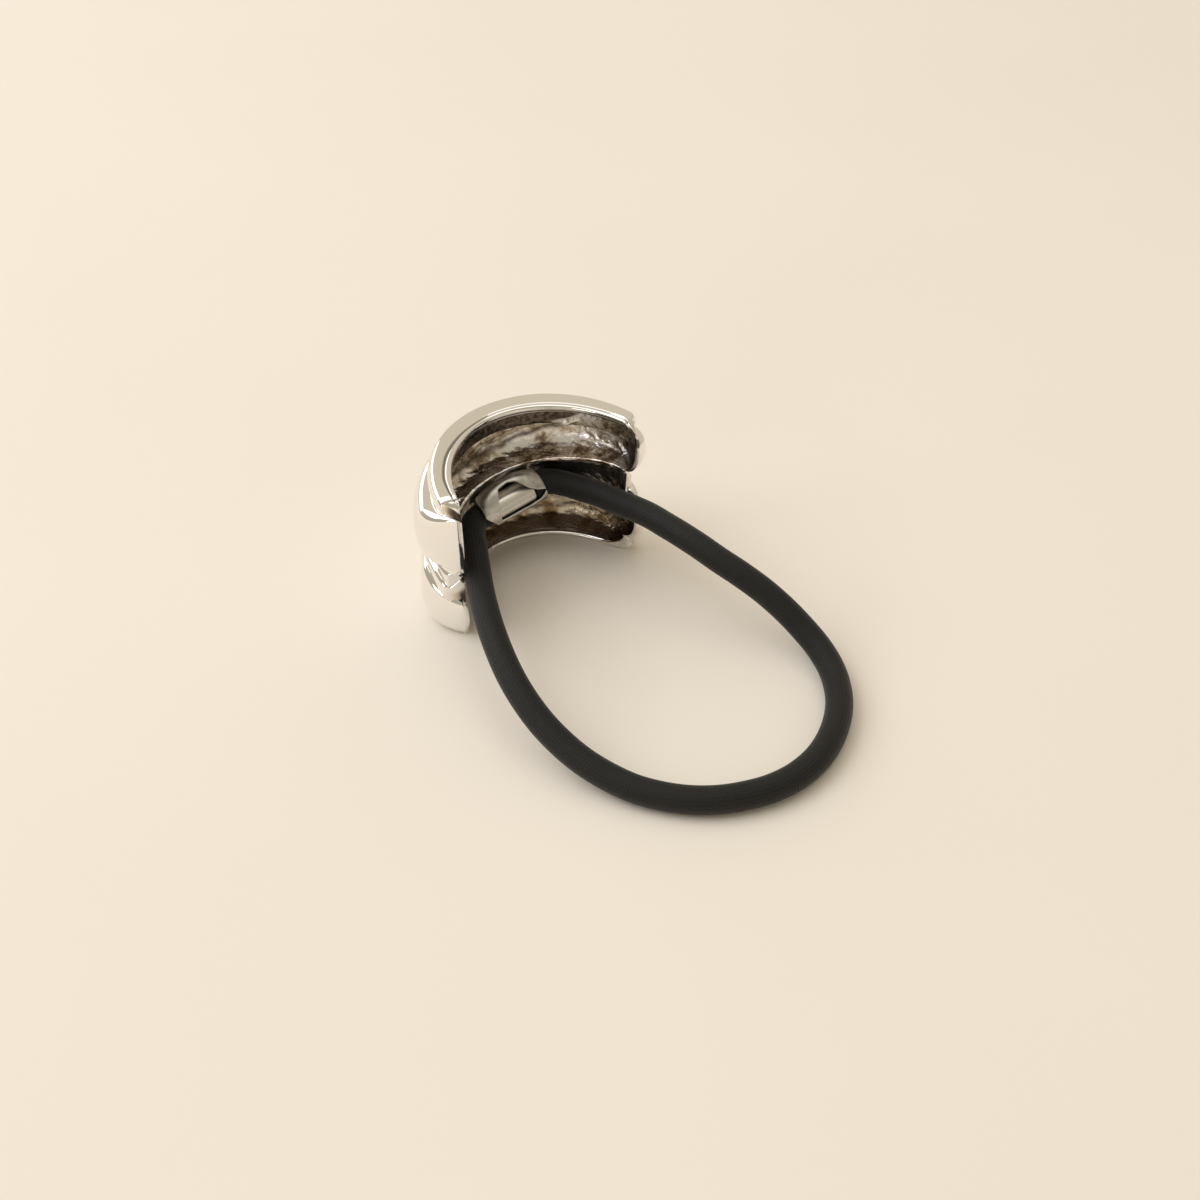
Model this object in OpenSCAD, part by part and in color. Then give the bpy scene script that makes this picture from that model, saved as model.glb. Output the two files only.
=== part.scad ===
// A ponytail cuff: a cast, puffed C-shaped shell that stands on its lower edge,
// and a round elastic whose ends are joined in a ferrule under a folded clamp.
// The back of the C is towards +Y, its open side towards -Y, the floor is z = 0,
// and the origin is the middle of the metal's footprint.

/* [C shape] */
// Widest inside width, between the two arms
inner_w = 33; // [30:0.5:37]
// Inside depth, from the bead ends to the back
inner_depth = 13.4; // [12:0.2:15]
// How much further forward the right arm reaches than the left one
arm_more = 0.5; // [0:0.1:2]
// Half length of the oval that the inner rim follows
oval_half = 20.3; // [18:0.1:23]
// Height of the cuff
cuff_h = 27.4; // [25.5:0.1:31]

/* [Shell] */
// Wall of the casting over the domes
wall = 1.2; // [0.9:0.1:1.5]
// Thickness of the bare rim at the dome ends
rim_t = 0.9; // [0.7:0.1:1.2]
// Height of the thin lip along the top of the inside
lip_h = 0.9; // [0.7:0.1:1.2]
// Width of the flat edge that it stands on
foot_w = 1.6; // [1.3:0.1:2]

/* [Domes] */
// How far the domes stand out from the inner rim
dome_r = 6.4; // [5.7:0.1:6.8]
// How far the domes stand out from the inner rim towards the right end
dome_end = 4.9; // [4.6:0.1:6.4]
// How far the dome ends puff out past the bead ends, at the left
puff_left = 1.3; // [0.8:0.1:2]
// How far the dome ends puff out past the bead ends, at the right
puff_right = 2.7; // [1.3:0.1:3]
// Length over which a dome rounds off towards its left end
shoulder_left = 4.6; // [4:0.1:6]
// Length over which a dome rounds off towards its right end
shoulder_right = 6.5; // [5:0.1:7.5]

/* [Beads] */
// Width of the top bead at the back, from the inner rim
bead_back = 4.4; // [3.8:0.1:4.8]
// Width of the top bead at its left end, from the inner rim
bead_left = 3.1; // [2.8:0.1:3.6]
// Width of the top bead at its right end, from the inner rim
bead_right = 3.5; // [2.8:0.1:3.8]
// Height of the top bead
bead_h = 3.3; // [2.8:0.1:3.8]
// How far the middle bead stands out from the inner rim, between the arms
mid_side = 5.3; // [4.8:0.1:5.5]
// How far the middle bead stands out from the inner rim at its left end
mid_r = 3.7; // [3.4:0.1:4.2]
// How far the middle bead stands out from the inner rim at its right end
mid_end = 2.6; // [2.5:0.1:3.2]
// Height of the middle bead's left end
mid_h = 3.4; // [3:0.1:4]
// Height of the middle bead between the arms
mid_thin = 1.8; // [1.4:0.2:2.6]
// Height of the middle bead's centre line at the left end
mid_left = 8.9; // [8:0.1:10]
// Height of the middle bead's centre line at the right end
mid_right = 14.6; // [12:0.1:15.5]
// Depth of the valleys beside the middle bead
valley_cut = 0.8; // [0.6:0.1:1]
// Height of the valley above the middle bead at the left end
valley_left = 2.2; // [1:0.1:3]
// Height of the valley above the middle bead at the right end
valley_right = 2.3; // [1:0.1:2.6]

/* [Clamp and ferrule] */
// Length of the folded clamp
clamp_len = 11.5; // [10:0.5:13]
// Height that its top stands over a round one's, at the middle of its length
clamp_top = 2; // [0:0.2:2.4]
// How far its left mouth is cut back underneath
mouth_cut = 2.2; // [0:0.2:2.6]
// Thickness of its sheet
sheet_t = 0.5; // [0.3:0.1:0.6]
// Place of the clamp's middle, to the right of the back's middle
clamp_x = 0.8; // [0:0.2:2]
// Slope of the clamp along the back, as an angle
clamp_tilt = 8.5; // [6:0.5:10]
// Widest opening between its two flaps, as an angle
leaf_open = 102; // [84:2:106]
// Length of the ferrule that joins the elastic's ends
ferrule_len = 8; // [6:0.5:9]
// Wall of the ferrule
ferrule_t = 0.4; // [0.3:0.1:0.6]

/* [Elastic] */
// Diameter of the elastic
elastic_d = 4.2; // [3.6:0.1:4.6]

/* [Hidden] */

// Clearances: between clamp and seat, around the ferrule, and around the elastic
seat_gap = 0.35;
ferrule_gap = 0.1;
elastic_gap = 0.1;

// Share of the rim's thickness that the inner skin stops short of the end
land_share = 0.8;

// The oval that the inner rim follows
oval_a = inner_w / 2;
oval_y = inner_depth - oval_half;
t_end = asin(-oval_y / oval_half);
half_turn = 90 - t_end;
more_turn = arm_more / oval_half * 180 / PI;
land_turn = rim_t * land_share / oval_half * 180 / PI;

// Rim curve by its eccentric angle: a point, and the way out of it
function rim_pt(t) = [oval_a * cos(t), oval_y + oval_half * sin(t)];
function rim_out(t) =
    let (v = [cos(t) / oval_a, sin(t) / oval_half]) v / norm(v);

function mix(a, b, k) = a + (b - a) * k;
function lump(phi, fullness) = pow(sin(phi), fullness);

// Stations run from the left end, -1, to the right end, 1, and crowd at the ends
stations = 46;
crowding = 1.5;
function station(i) =
    let (u = 2 * i / stations - 1) sign(u) * (1 - pow(1 - abs(u), crowding));

function arm_turn(k) = half_turn + (k > 0 ? more_turn : 0);
function puff_turn(k) = (k < 0 ? puff_left : puff_right) / oval_half * 180 / PI;
function mid_z(k) = mix(mid_left, mid_right, (k + 1) / 2);

// Over the last part of the left arm the middle bead swells down into a wedge. Where that
// starts it runs this far above the inner groove's middle, and its upper valley is this high
swell_k = -0.8;
wedge_rise = 3;
valley_thin = 0.6;
function swell(k) = max(0, (swell_k - k) / (swell_k + 1));
function mid_w(k) =
    k < 0 ? mix(mid_side, mid_r, swell(k)) : mix(mid_side, mid_end, pow(k, 4));
function bead_z(k) = mid_z(k) + wedge_rise * (1 - swell(k)) * (1 - k) / (1 - swell_k);
function bead_tall(k) = mix(mid_thin, mid_h, swell(k));
function valley_h(k) =
    mix(valley_thin, k < 0 ? valley_left : valley_right, k < 0 ? swell(k) : pow(k, 4));
function shoulder(k) = k < 0 ? shoulder_left : shoulder_right;
function dome_w(k) = mix(dome_r, dome_end, pow(max(0, k), 4));

// The clamp's axis lies along the rim's tangent, near the middle bead's centre line, and
// the casting is thicker behind it
seat_wall = 0.6;
clamp_rise = -0.3;
clamp_t = acos(clamp_x / oval_a);
clamp_k = (90 - clamp_t) / arm_turn(1);
clamp_in = elastic_d / 2 + elastic_gap;
clamp_out = clamp_in + sheet_t;
clamp_side = rim_out(clamp_t);
clamp_sag = pow(clamp_len / 2, 2) * oval_half / (2 * oval_a * oval_a);
groove_r = mid_r - wall - seat_wall;
clamp_set = groove_r - seat_gap - clamp_out - clamp_sag;
clamp_mid = concat(rim_pt(clamp_t) + clamp_side * clamp_set, [mid_z(clamp_k) + clamp_rise]);
clamp_turn = atan2(clamp_side[1], clamp_side[0]) - 90;

// Depth of the flat seat behind the clamp, measured out from the rim at angle t
function seat_r(t) =
    let (back = rim_pt(clamp_t) + clamp_side * (clamp_set + clamp_out + seat_gap))
    (back - rim_pt(t)) * clamp_side / (rim_out(t) * clamp_side);

// A row of the skin is [out from the rim, height, share of the end's puff, 1 in a dome]
edge = 0.3;
crest_r = 0.7;
dome_rows = 9;
// Share of the puff that the foot keeps
foot_puff = 0.35;
mid_rows = 4;
// Fullness of a section: smaller is squarer, 1 is a sine
dome_full = 0.56;
bead_full = 0.8;
// An end puffs out in a bow from height top down to height bottom
function bow(z, top, bottom) =
    let (h = (top - z) / (top - bottom)) pow(max(0, 4 * h * (1 - h)), bead_full / 2);
function dome(r0, r1, z0, z1, top_r, bow_top) = [for (n = [1:dome_rows])
    let (phi = 180 * n / (dome_rows + 1), k = (1 - cos(phi)) / 2, base = mix(r0, r1, k),
        z = mix(z0, z1, k))
    [base + (top_r - base) * lump(phi, dome_full), z, bow(z, bow_top, z1), 1]];
function mid(r0, z0, z1, top_r) = [for (n = [1:mid_rows])
    let (phi = 180 * n / (mid_rows + 1))
    [r0 + (top_r - r0) * lump(phi, bead_full), mix(z0, z1, (1 - cos(phi)) / 2), 0, 0]];

// The top bead: a fine line cut in its flat top, then a roll down to a groove
roll_r = 1.35;
roll_turns = [78, 50, 22, -8, -38, -68];
line_cut = 0.2;
groove_cut = 0.8;
undercut = 0.1;
function bead_w(k) =
    k < 0 ? mix(bead_back, bead_left, k * k) : mix(bead_back, bead_right, pow(k, 4));

// The foot's right corner is rounded up from the floor, its outside by this share of it
corner_k = 0.8;
corner_h = 3;
outer_lift = 0.7;
function foot_z(k) =
    let (u = max(0, (k - corner_k) / (1 - corner_k))) corner_h * (1 - sqrt(1 - u * u));
function outer_rows(k) =
    let (top_w = bead_w(k), groove_z = cuff_h - bead_h - undercut, valley = valley_h(k),
        valley_r = mid_w(k) - valley_cut, foot = foot_z(k) * outer_lift,
        z1 = bead_z(k) + bead_tall(k) / 2, z2 = bead_z(k) - bead_tall(k) / 2)
    concat(
        [[edge, cuff_h, 0, 0], [2 * edge, cuff_h, 0, 0], [3 * edge, cuff_h - line_cut, 0, 0],
            [4 * edge, cuff_h, 0, 0]],
        [for (turn = roll_turns) [top_w - roll_r + roll_r * cos(turn),
            cuff_h - bead_h / 2 + bead_h / 2 * sin(turn), 0, 0]],
        [[top_w - groove_cut, groove_z, 0, 0]],
        dome(top_w - groove_cut, valley_r, groove_z, z1 + valley, dome_w(k), cuff_h),
        [[valley_r, z1 + valley / 2, 0, 0], [valley_r, z1, 0, 0]],
        mid(valley_r, z1, z2, mid_w(k)),
        [[valley_r, z2, 0, 0]],
        dome(valley_r, foot_w, z2, foot, dome_w(k), z2),
        [[foot_w, foot, foot_puff, 0], [edge, foot, foot_puff, 0]]);

// Inside, the channels behind the domes meet the groove behind the middle bead in two
// crests. The upper one starts this far over the middle bead's height at each end, the
// lower one this far under it, and each is this high. The upper channel starts this far
// under the top bead's groove
bead_rows = 5 + len(roll_turns);
crest_left = 1.7;
crest_right = 1.4;
crest_down = 1.6;
crest_h = 0.5;
ceiling = 0.5;
function inner_rows(k, seat) =
    let (channel_z = cuff_h - bead_h - undercut - ceiling, lip_z = cuff_h - lip_h,
        z1 = mid_z(k) + mid_h / 2 + mix(crest_left, crest_right, (k + 1) / 2),
        z2 = mid_z(k) - mid_h / 2 - crest_down, foot = foot_z(k),
        depth = groove_r - (mid_r - mid_end) * pow(max(0, k), 2))
    concat(
        [[0, cuff_h - edge, bow(cuff_h - edge, cuff_h, z1), 0]],
        [for (n = [0:bead_rows - 2]) let (s = n / (bead_rows - 2), z = mix(lip_z, channel_z, s))
            [crest_r * s * s, z, bow(z, cuff_h, z1), 0]],
        dome(crest_r, crest_r, channel_z, z1, dome_w(k) - wall, cuff_h),
        [[crest_r, z1, 0, 0], [crest_r, z1 - crest_h, 0, 0]],
        mid(crest_r, z1 - crest_h, z2 + crest_h, min(depth, seat)),
        [[crest_r, z2, 0, 0]],
        dome(crest_r, 0, z2, foot + foot_w * 0.6, dome_w(k) - wall, z2),
        [[0, foot + foot_w / 2, foot_puff, 0], [0, foot + edge, foot_puff, 0]]);

// Share of its bulge that a row keeps at distance rest from its own end
function keep(rest, run) =
    let (q = max(0, 1 - rest / run)) sqrt(max(0, 1 - q * q));

// A skin point from its row, at share k of the way from the middle to the end
function skin_pt(row, k, less_turn, floor_r, run) =
    let (turn = arm_turn(k) + puff_turn(k) * row[2] - less_turn,
        t = 90 - k * turn,
        rest = (1 - abs(k)) * turn * PI / 180 * oval_half,
        r = floor_r + (row[0] - floor_r) * keep(rest, run),
        p = rim_pt(t) + rim_out(t) * r)
    [p[0], p[1], row[1]];

// The beads' blunt ends: the left ones flare to this share of their width, and the right
// ones round off to this share over this length
left_flare = 1.05;
right_keep = 0.7;
blunt_run = 1.4;
function outer_ring(i) =
    let (k = station(i))
    [for (row = outer_rows(k)) let (in_dome = row[3] == 1)
        skin_pt(row, k, 0,
            in_dome ? min(rim_t, row[0]) : row[0] * (k < 0 ? left_flare : right_keep),
            in_dome ? shoulder(k) : blunt_run)];

function inner_ring(i) =
    let (k = station(i))
    [for (row = inner_rows(k, seat_r(90 - k * arm_turn(k))))
        skin_pt(row, k, land_turn, 0, shoulder(k))];

// The bare rim stands between the two skins at each end
function rim_ring(k) =
    [for (row = inner_rows(k, groove_r)) skin_pt([0, row[1], row[2]], k, 0, 0, 1)];

// Two triangles over each cell of a grid of rings, each ring a closed loop of n
function loop_faces(rings, n) = [for (i = [0:rings - 2], j = [0:n - 1])
    let (a = i * n + j, b = i * n + (j + 1) % n, c = b + n, d = a + n)
    each [[a, b, c], [a, c, d]]];
function reversed(list) = [for (i = [len(list) - 1:-1:0]) list[i]];

outer_skin = [for (i = [0:stations]) outer_ring(i)];
left_rim = rim_ring(-1);
right_rim = rim_ring(1);

// The frame's origin is the middle of the box round the metal's footprint
footprint = concat([for (ring = outer_skin) each ring], left_rim, right_rim);
xs = [for (p = footprint) p[0]];
ys = [for (p = footprint) p[1]];
to_frame = [-(min(xs) + max(xs)) / 2, -(min(ys) + max(ys)) / 2, 0];

module cuff() {
    row_count = len(left_rim);
    rings = [for (i = [0:stations]) concat(outer_skin[i], reversed(inner_ring(i)))];
    n = 2 * row_count;
    base = (stations + 1) * n;
    last = stations * n;
    // Strips from the outer skin to the rim, and from the rim to the inner skin
    left_faces = [for (j = [0:row_count - 2])
        let (o = j, m = base + j, s = n - 1 - j)
        each [[o, m, m + 1], [o, m + 1, o + 1], [m, s, s - 1], [m, s - 1, m + 1]]];
    right_faces = [for (j = [0:row_count - 2])
        let (o = last + j, m = base + row_count + j, s = last + n - 1 - j)
        each [[o, o + 1, m + 1], [o, m + 1, m], [m, m + 1, s - 1], [m, s - 1, s]]];
    // The four corners, where the rim meets the lip and the foot
    r0 = row_count - 1;
    corners = [[0, n - 1, base], [r0, base + r0, n - 1 - r0],
        [last, base + row_count, last + n - 1],
        [last + r0, last + n - 1 - r0, base + row_count + r0]];
    color("silver") translate(to_frame)
        polyhedron(concat([for (ring = rings) each ring], left_rim, right_rim),
            concat(loop_faces(stations + 1, n), left_faces, right_faces, corners));
}

// Clamp: a sheet folded round the ferrule, its flaps parted in a leaf shape. The upper
// flap's left corner is folded down against the lower flap
clamp_steps = 24;
clamp_turns = 20;
leaf_mid = 27;
// Free edges of the flaps, as [share of the length, upper edge, lower edge], the edges as
// shares of half the opening from its middle
flap_edges = [[0, -0.85, -0.92], [0.13, -0.89, -0.96], [0.34, 0.9, -1], [0.5, 1, -1],
    [0.62, 0.8, -1], [0.75, 0.2, -1], [0.88, -0.1, -0.85], [1, -0.22, -0.3]];
upper_edge = [for (row = flap_edges) [row[0], row[1]]];
lower_edge = [for (row = flap_edges) [row[0], row[2]]];
function clamp_pt(s, phi, r) =
    [(s - 0.5) * clamp_len + mouth_cut * pow(1 - s, 2) * max(0, sin(leaf_mid - phi)), -r * cos(phi),
        r * sin(phi) + clamp_top * max(0, sin(phi)) * lump(180 * s, 0.6)];
function clamp_ring(i) =
    let (s = i / clamp_steps, half = leaf_open / 2,
        start = leaf_mid + half * lookup(s, upper_edge),
        stop = 360 + leaf_mid + half * lookup(s, lower_edge))
    concat(
        [for (j = [0:clamp_turns]) clamp_pt(s, mix(start, stop, j / clamp_turns), clamp_out)],
        [for (j = [clamp_turns:-1:0]) clamp_pt(s, mix(start, stop, j / clamp_turns), clamp_in)]);

module at_clamp() {
    translate(to_frame + clamp_mid) rotate([0, 0, clamp_turn]) rotate([0, -clamp_tilt, 0])
        children();
}

module elastic_clamp() {
    n = 2 * (clamp_turns + 1);
    last = clamp_steps * n;
    ends = [for (j = [0:clamp_turns - 1]) let (a = j, b = n - 1 - j)
        each [[a, b - 1, b], [a, a + 1, b - 1], [last + a, last + b, last + b - 1],
            [last + a, last + b - 1, last + a + 1]]];
    color("lightgray") at_clamp()
        polyhedron([for (i = [0:clamp_steps]) each clamp_ring(i)],
            concat(loop_faces(clamp_steps + 1, n), [for (f = ends) reversed(f)]));
}

module ferrule() {
    ferrule_r = clamp_in - ferrule_gap;
    color("gainsboro") at_clamp() rotate([0, 90, 0]) difference() {
        cylinder(h = ferrule_len, r = ferrule_r, center = true, $fn = 48);
        cylinder(h = ferrule_len + 1, r = ferrule_r - ferrule_t, center = true, $fn = 48);
    }
}

// Route of the elastic's centre line, from the right mouth of the clamp round to the
// left one; where it lies on the floor its height is half its diameter
lie = elastic_d / 2;
route = [
    [5, 2.3, 12.2], [6.5, 2.3, 12.4], [7.5, 2.1, 12.5], [8.7, 1.4, 12.5],
    [9.8, 0.1, 12.4], [10.7, -1.7, 12.5], [11.6, -3.8, 12.6], [12.5, -6.3, 12.9],
    [13.3, -9.3, 13.1], [14.2, -12.5, 13.4],
    [15.1, -16, 13.6], [15.7, -19.5, 13.6], [16.4, -22.9, 13.4], [17.3, -26.2, 12.8],
    [18.4, -29.5, 11.8], [19.9, -33, 10.5], [21.5, -36.7, 8.8], [22.9, -40.5, 6.7],
    [23.8, -44.3, 4.6], [23.9, -48.3, 3], [22.4, -52.8, 2.2], [19.1, -57.3, lie],
    [14.6, -60.8, lie], [9.7, -63, lie], [4.8, -63.8, lie], [0.2, -63.4, lie],
    [-3.8, -62.1, lie], [-7.4, -60.3, lie], [-10.6, -57.9, lie], [-13.3, -55, lie],
    [-15.7, -51.7, 2.3], [-17.6, -48, 2.8], [-19.1, -44.3, 3.6], [-20.1, -40.5, 4.6],
    [-20.7, -36.5, 5.8], [-20.8, -32.5, 7.1], [-20.4, -28.3, 8.4], [-19.4, -23.9, 9.5],
    [-17.9, -19.3, 10.3], [-16.2, -15.1, 10.8], [-14.5, -11.5, 10.9], [-12.9, -8.5, 10.9],
    [-11.4, -5.7, 10.9], [-10, -3.1, 10.9], [-9.1, -1.4, 10.8], [-8.2, 0.1, 10.7],
    [-7.2, 1.5, 10.6], [-6.2, 2.5, 10.6], [-5.1, 2.9, 10.7], [-3.3, 2.8, 10.9]];

sides = 10;
function heading(i) =
    let (v = route[min(i + 1, len(route) - 1)] - route[max(i - 1, 0)]) v / norm(v);
function elastic_ring(i) =
    let (ahead = heading(i), side = cross(ahead, [0, 0, 1]) / norm(cross(ahead, [0, 0, 1])),
        up = cross(side, ahead))
    [for (j = [0:sides - 1]) let (turn = 360 * j / sides - 90)
        route[i] + elastic_d / 2 * (cos(turn) * side + sin(turn) * up)];

module elastic() {
    last = (len(route) - 1) * sides;
    ends = [[for (j = [0:sides - 1]) sides - 1 - j], [for (j = [0:sides - 1]) last + j]];
    color("black")
        polyhedron([for (i = [0:len(route) - 1]) each elastic_ring(i)],
            concat(ends, loop_faces(len(route), sides)));
}

cuff();
elastic_clamp();
ferrule();
elastic();
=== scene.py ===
import math

import bpy
import numpy as np
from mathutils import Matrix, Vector


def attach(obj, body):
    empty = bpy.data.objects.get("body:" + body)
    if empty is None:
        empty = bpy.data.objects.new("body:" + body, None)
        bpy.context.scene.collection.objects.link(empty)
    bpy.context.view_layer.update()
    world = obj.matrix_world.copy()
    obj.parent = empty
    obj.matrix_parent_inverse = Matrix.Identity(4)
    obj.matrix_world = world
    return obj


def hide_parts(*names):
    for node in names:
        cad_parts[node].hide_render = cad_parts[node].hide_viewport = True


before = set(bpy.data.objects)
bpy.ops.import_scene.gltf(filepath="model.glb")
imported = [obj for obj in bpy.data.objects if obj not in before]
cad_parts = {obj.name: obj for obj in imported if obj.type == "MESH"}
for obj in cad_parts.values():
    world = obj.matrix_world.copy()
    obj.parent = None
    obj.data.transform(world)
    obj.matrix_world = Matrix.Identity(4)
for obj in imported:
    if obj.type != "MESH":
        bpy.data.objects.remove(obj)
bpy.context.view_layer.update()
scene = bpy.context.scene
mm = 0.001

# Camera
# A 45 mm lens looks down on the cuff from its open side, a little to its left, from about
# 25 cm away, as the photograph was taken.
camera_spot = (-102.87 * mm, -157.46 * mm, 168.6 * mm)
camera_heading = math.radians(37.4)
camera_down = math.radians(43.35)
camera = bpy.data.objects.new("camera", bpy.data.cameras.new("camera"))
camera.data.lens = 45
camera.data.sensor_width = 36
camera.data.clip_start = 5 * mm
camera.location = camera_spot
camera.rotation_euler = (math.pi / 2 - camera_down, 0, -camera_heading)
scene.collection.objects.link(camera)
scene.camera = camera

# Elastic
# A rubber core in a tight black knitted cover, one loop whose two ends meet in the ferrule.
# It leaves both mouths of the clamp, sinks to the table and lies there at its far end.
elastic_d = 4.2 * mm
lie = elastic_d / mm / 2
route = np.array([
    [5, 2.3, 12.2], [6.5, 2.3, 12.4], [7.5, 2.1, 12.5], [8.7, 1.4, 12.5],
    [9.8, 0.1, 12.4], [10.7, -1.7, 12.5], [11.6, -3.8, 12.6], [12.5, -6.3, 12.9],
    [13.3, -9.3, 13.1], [14.2, -12.5, 13.4],
    [15.1, -16, 13.6], [15.7, -19.5, 13.6], [16.4, -22.9, 13.4], [17.3, -26.2, 12.8],
    [18.4, -29.5, 11.8], [19.9, -33, 10.5], [21.5, -36.7, 8.8], [22.9, -40.5, 6.7],
    [23.8, -44.3, 4.6], [23.9, -48.3, 3], [22.4, -52.8, 2.2], [19.1, -57.3, lie],
    [14.6, -60.8, lie], [9.7, -63, lie], [4.8, -63.8, lie], [0.2, -63.4, lie],
    [-3.8, -62.1, lie], [-7.4, -60.3, lie], [-10.6, -57.9, lie], [-13.3, -55, lie],
    [-15.7, -51.7, 2.3], [-17.6, -48, 2.8], [-19.1, -44.3, 3.6], [-20.1, -40.5, 4.6],
    [-20.7, -36.5, 5.8], [-20.8, -32.5, 7.1], [-20.4, -28.3, 8.4], [-19.4, -23.9, 9.5],
    [-17.9, -19.3, 10.3], [-16.2, -15.1, 10.8], [-14.5, -11.5, 10.9], [-12.9, -8.5, 10.9],
    [-11.4, -5.7, 10.9], [-10, -3.1, 10.9], [-9.1, -1.4, 10.8], [-8.2, 0.1, 10.7],
    [-7.2, 1.5, 10.6], [-6.2, 2.5, 10.6], [-5.1, 2.9, 10.7], [-3.3, 2.8, 10.9]]) * mm
leg_cuts = 12
ring_step = 0.3 * mm
elastic_sides = 40


def flowing_line(points, step):
    """Each leg between two points is the cubic whose slope at a point is half the way from the
    point before it to the point after it. The line is then cut into even steps."""
    padded = np.vstack([2 * points[0] - points[1], points, 2 * points[-1] - points[-2]])
    before, start, end, after = padded[:-3], padded[1:-2], padded[2:-1], padded[3:]
    lead, tail = (end - before) / 2, (after - start) / 2
    start, end, lead, tail = (p[:, None, :] for p in (start, end, lead, tail))
    s = np.linspace(0, 1, leg_cuts, endpoint=False)[None, :, None]
    legs = ((2 * s**3 - 3 * s**2 + 1) * start + (s**3 - 2 * s**2 + s) * lead
            + (3 * s**2 - 2 * s**3) * end + (s**3 - s**2) * tail)
    line = np.vstack([legs.reshape(-1, 3), points[-1:]])
    run = np.concatenate([[0], np.cumsum(np.linalg.norm(np.diff(line, axis=0), axis=1))])
    even = np.linspace(0, run[-1], int(run[-1] / step))
    return np.column_stack([np.interp(even, run, line[:, i]) for i in range(3)])


def rings_round(line, radius, sides):
    """Round each point of a line, a circle square to the way ahead: the point plus
    radius * (cos a * side + sin a * up), with up as near to upright as it can be."""
    ahead = np.gradient(line, axis=0)
    ahead /= np.linalg.norm(ahead, axis=1, keepdims=True)
    side = np.cross(ahead, [0, 0, 1])
    side /= np.linalg.norm(side, axis=1, keepdims=True)
    up = np.cross(side, ahead)
    turn = -2 * np.pi * np.arange(sides) / sides
    return line[:, None] + radius * (np.cos(turn)[None, :, None] * side[:, None]
                                     + np.sin(turn)[None, :, None] * up[:, None])


def grid_piece(name, grid, uv, extra_faces=()):
    """A mesh object from a grid of points that closes on itself from its last column to its first,
    with a face between each four neighbours. uv has a pair for each point, and for one more column
    where the grid closes."""
    rows, columns = grid.shape[:2]
    i, j = np.meshgrid(np.arange(rows - 1), np.arange(columns), indexing="ij")
    corners = [(i, j), (i, j + 1), (i + 1, j + 1), (i + 1, j)]
    faces = np.stack([a * columns + b % columns for a, b in corners], axis=-1).reshape(-1, 4)
    pairs = np.stack([uv[a, b] for a, b in corners], axis=2).reshape(-1, 2)
    mesh = bpy.data.meshes.new(name)
    mesh.from_pydata(grid.reshape(-1, 3).tolist(), [], faces.tolist() + [list(f) for f in extra_faces])
    pairs = np.vstack([pairs, np.zeros((len(mesh.loops) - len(pairs), 2))])
    mesh.uv_layers.new(name="UVMap").data.foreach_set("uv", pairs.astype(np.float32).ravel())
    mesh.polygons.foreach_set("use_smooth", [True] * len(mesh.polygons))
    mesh.update()
    piece = bpy.data.objects.new(name, mesh)
    scene.collection.objects.link(piece)
    return piece


def put(tree, kind, settings=None, **feeds):
    """Adds one shader node. settings are its own choices. Each feed is an input with its value or
    the socket that drives it: Base_Color stands for Base Color, and a, b, c for inputs 0, 1, 2."""
    node = tree.nodes.new(kind)
    for name, value in (settings or {}).items():
        setattr(node, name, value)
    for name, value in feeds.items():
        socket = node.inputs["abc".index(name) if name in "abc" else name.replace("_", " ")]
        if isinstance(value, bpy.types.NodeSocket):
            tree.links.new(value, socket)
        else:
            socket.default_value = value
    return node


def math_of(tree, operation, a, b=0.5, c=0.5):
    """The result of one Math node."""
    return put(tree, "ShaderNodeMath", {"operation": operation}, a=a, b=b, c=c).outputs[0]


def ramp_of(tree, factor, *stops):
    """The colour of a ramp whose stops are given as a place and a colour."""
    node = put(tree, "ShaderNodeValToRGB", a=factor)
    for _ in stops[2:]:
        node.color_ramp.elements.new(0.5)
    for element, (place, colour) in zip(node.color_ramp.elements, stops):
        element.position = place
        element.color = (*colour, 1)
    return node.outputs[0]


def mixed(tree, factor, a, b):
    """Colour a where the factor is 0, and b where it is 1."""
    node = put(tree, "ShaderNodeMix", {"data_type": "RGBA"}, Factor=factor)
    for socket, value in ((node.inputs[6], a), (node.inputs[7], b)):
        if isinstance(value, bpy.types.NodeSocket):
            tree.links.new(value, socket)
        else:
            socket.default_value = (*value, 1)
    return node.outputs[2]


def new_finish(name):
    """An empty material, its tree and its own Principled shader."""
    finish = bpy.data.materials.new(name)
    finish.use_nodes = True
    return finish, finish.node_tree, finish.node_tree.nodes["Principled BSDF"]


elastic_line = flowing_line(route, ring_step)
elastic_rings = rings_round(elastic_line, elastic_d / 2, elastic_sides)
around, along = np.meshgrid(np.arange(elastic_sides + 1) / elastic_sides,
                            np.arange(len(elastic_line)) * ring_step / (math.pi * elastic_d))
end_ring = (len(elastic_line) - 1) * elastic_sides
elastic = grid_piece("elastic_cord", elastic_rings, np.stack([around, along], axis=-1), [
    list(range(elastic_sides))[::-1], [end_ring + n for n in range(elastic_sides)]])

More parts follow.
